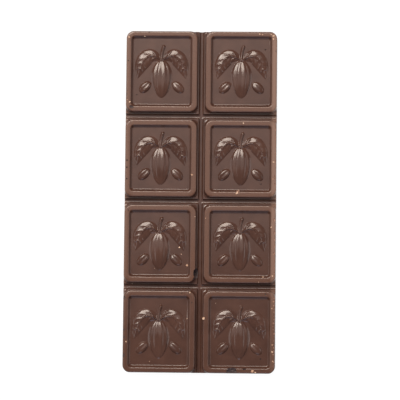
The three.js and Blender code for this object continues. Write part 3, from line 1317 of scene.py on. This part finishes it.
CRUMB_HEIGHT = 0.17  # at most, above the chocolate that it sticks to
CRUMBS = [
    # x, y, half size
    (24.7, 57.2, 0.3), (24.7, 56.1, 0.3), (23.9, 57.7, 0.2),  # first row, far right
    (20.9, 57.6, 0.2), (20.0, 57.8, 0.2),
    (-25.1, 56.5, 0.25), (-19.7, 56.9, 0.2), (-24.6, 34.0, 0.25), (-25.5, 34.8, 0.2),  # first row, left
    (-2.9, 9.0, 0.3), (24.9, 7.7, 0.25), (25.0, 13.6, 0.2), (14.6, 26.9, 0.2),  # second row
    (24.4, -8.8, 0.22), (-4.3, -22.1, 0.36), (21.7, -25.9, 0.25), (25.0, -25.5, 0.22),  # third row
    (1.9, -5.9, 0.16), (-1.7, -5.4, 0.16), (-7.0, -15.9, 0.2), (-6.3, -18.3, 0.16), (-15.5, -23.2, 0.12),
    (-23.1, -28.5, 0.13), (20.2, -27.6, 0.13), (-3.2, -31.4, 0.2), (5.6, -34.9, 0.12),
    (1.6, -40.1, 0.45), (-4.1, -40.3, 0.14), (24.8, -36.5, 0.22), (25.0, -48.9, 0.2),  # fourth row
    (25.0, -51.3, 0.25), (25.2, -54.5, 0.18), (-24.8, -48.3, 0.2), (-16.8, -55.0, 0.13),
    (18.3, -57.9, 0.4), (19.3, -58.3, 0.24),  # on the near rim
]
crumbs = []
for x, y, size in CRUMBS:
    across = size * random.uniform(0.8, 1.2)
    along = size * random.uniform(0.8, 1.4)
    half_sizes = (across, along, min(0.6 * size, CRUMB_HEIGHT))
    crumbs.append(add_stone(half_sizes, x, y, surface_at(x, y), random.uniform(0, 3), rough=0.25))
stick(crumbs, PALE)
print(len(crumbs), "crumbs")

# %% The largest flake, a small star of splinters

FLAKE_SPLINTERS = [
    # x, y, half length, turn, slot
    (13.0, 3.35, 0.6, -0.4, SCRAPED),
    (12.7, 2.9, 0.75, -0.8, PALE),
    (12.85, 3.1, 0.75, 0.9, SCRAPED),
]
FLAKE_SUNK = 0.02  # how far the middle of each splinter lies below the rim's top
for x, y, half_length, turn, slot in FLAKE_SPLINTERS:
    stick([add_stone((0.3, half_length, CRUMB_HEIGHT), x, y, RIM_TOP - FLAKE_SUNK, turn, rough=0.3)], slot)
print("bar with its wear:", len(bar.data.polygons), "faces")

# %% [markdown]
# ## Smooth shading
#
# The mould's curves have no facets, and a break has sharp ones. Smoothing by angle gives both: edges below
# the angle are smoothed over, steeper ones stay sharp. The thin line where an emblem's fillet runs out in its
# panel is marked sharp as well, and normals weighted by face size keep the large level faces level.

# %% Shading

SMOOTH_BELOW = math.radians(35)
LEVEL = 0.99999  # upward part of the normal of a level face


def leaves_a_panel(edge):
    """Where an emblem's fillet meets the level panel. Smoothed over, it would leave streaks on the panel."""
    slopes = sorted(face.normal.z for face in edge.link_faces)
    on_floor = all(abs(vert.co.z - PANEL_FLOOR) < CLOSE for vert in edge.verts)
    return on_floor and slopes[0] < LEVEL < slopes[-1]


select_only(bar)
bpy.ops.object.shade_smooth_by_angle(angle=SMOOTH_BELOW)
edit(bar)
pick("EDGE", leaves_a_panel)
bpy.ops.mesh.mark_sharp()
leave()
modify(bar, "WEIGHTED_NORMAL", keep_sharp=True)
print("sharp edges:", sum(edge.use_edge_sharp for edge in bar.data.edges))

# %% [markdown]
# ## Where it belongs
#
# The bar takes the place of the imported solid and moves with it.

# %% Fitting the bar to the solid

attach(bar, "root")
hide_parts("bar")

# %% [markdown]
# ## A light table
#
# A dark glossy thing shows its form by what it mirrors, so every lamp is placed for the edges that it is to
# draw. A large soft box stands beyond the bar's far end, a little to the left, high enough to draw a thin
# bright line along every far-facing edge. A weaker one above it widens that line softly, and a small one off
# the far left corner puts a glint on the round corners there. A card on each side draws the edges that run
# along the bar, a low fill at the near end opens the shadows, and the pale room does the rest.
#
# One hard lamp would be simpler, but its reflection would be a few white dots. The white table glows by
# itself, as a light table does, so that no hard shadow lies beside the bar.

# %% Table and room

TABLE_HALF = 2.0
TABLE_GREY = linear("5a5a5a")  # under the glow, so that lamps hardly change it
TABLE_GLOW = 0.96
ROOM_GREY = linear("aeb3bf")
ROOM_BRIGHTNESS = 0.4

bpy.ops.object.select_all(action="DESELECT")
bpy.ops.mesh.primitive_plane_add(size=2 * TABLE_HALF, location=(0, 0, 0))
floor = bpy.context.object
floor.name = "floor"
table_top, shader, _ = new_material("white_table_top")
set_same_all_over(
    shader,
    Base_Color=TABLE_GREY,
    Roughness=1.0,
    Specular_IOR_Level=0.0,
    Emission_Color=(1, 1, 1, 1),
    Emission_Strength=TABLE_GLOW,
)
floor.data.materials.append(table_top)

world = bpy.data.worlds.new("pale room")
world.use_nodes = True
world.node_tree.nodes["Background"].inputs["Color"].default_value = ROOM_GREY
world.node_tree.nodes["Background"].inputs["Strength"].default_value = ROOM_BRIGHTNESS
bpy.context.scene.world = world
print(f"table: {2 * TABLE_HALF:.0f} m square")

# %% Lamps


def add_softbox(name, azimuth, elevation, size, power, colour):
    """A square lamp that faces the bar from one metre. Azimuth is counted from the far end, clockwise."""
    lamp = bpy.data.lights.new(name, "AREA")
    lamp.shape = "SQUARE"
    lamp.color = linear(colour)[:3]
    lamp.size = size
    lamp.energy = power
    softbox = bpy.data.objects.new(name, lamp)
    azimuth = math.radians(azimuth)
    elevation = math.radians(elevation)
    level = math.cos(elevation)
    towards = Vector((math.sin(azimuth) * level, math.cos(azimuth) * level, math.sin(elevation)))
    softbox.location = towards
    softbox.rotation_mode = "QUATERNION"
    softbox.rotation_quaternion = towards.to_track_quat("Z", "Y")
    bpy.context.scene.collection.objects.link(softbox)


add_softbox("far softbox", -18.4, 55.5, size=0.53, power=10.0, colour="fff0e2")
add_softbox("high softbox", -10, 70.1, size=0.7, power=1.7, colour="fff6f0")
add_softbox("corner softbox", -45, 50, size=0.35, power=1.4, colour="fff6f0")
add_softbox("near fill", 180, 25, size=0.5, power=1.8, colour="e4e4fa")
add_softbox("left card", -90, 32, size=0.6, power=2.0, colour="fbf5f2")
add_softbox("right card", 90, 32, size=0.6, power=2.1, colour="fbf5f2")
print("lamps:", [lamp.name for lamp in bpy.data.lights])

# %% [markdown]
# ## The camera
#
# A bar that lies flat is read best from almost straight above, from far enough away that its sides look
# parallel. A camera exactly above would be simpler, but a slight lean towards the near end is how a person
# looks at a table. The camera's three axes are worked out first: its back, its right and its up. They are the
# columns of its matrix.

# %% The camera

AIM = Vector((-0.075, 0.345, 7.8)) * MM  # where it looks
DISTANCE = 528 * MM
LEANING = math.radians(3.603)  # from upright, towards the near end
SIDEWAYS = math.radians(1.345)  # and towards the right
ROLL = math.radians(0.583)
LENS = 138.58  # millimetres, on the usual 36 mm sensor

back = Vector((math.tan(SIDEWAYS), -math.tan(LEANING), 1)).normalized()
level_right = Vector((0, 1, 0)).cross(back).normalized()
right = Matrix.Rotation(ROLL, 3, back) @ level_right
up = back.cross(right)
camera = bpy.data.objects.new("camera", bpy.data.cameras.new("camera"))
camera.data.lens = LENS
camera.data.clip_start = 0.01
camera.matrix_world = Matrix((right, up, back)).transposed().to_4x4()
camera.location = AIM + DISTANCE * back
bpy.context.scene.collection.objects.link(camera)
bpy.context.scene.camera = camera
bpy.context.scene.view_settings.view_transform = "Standard"
print("camera at", [round(c, 3) for c in camera.location])
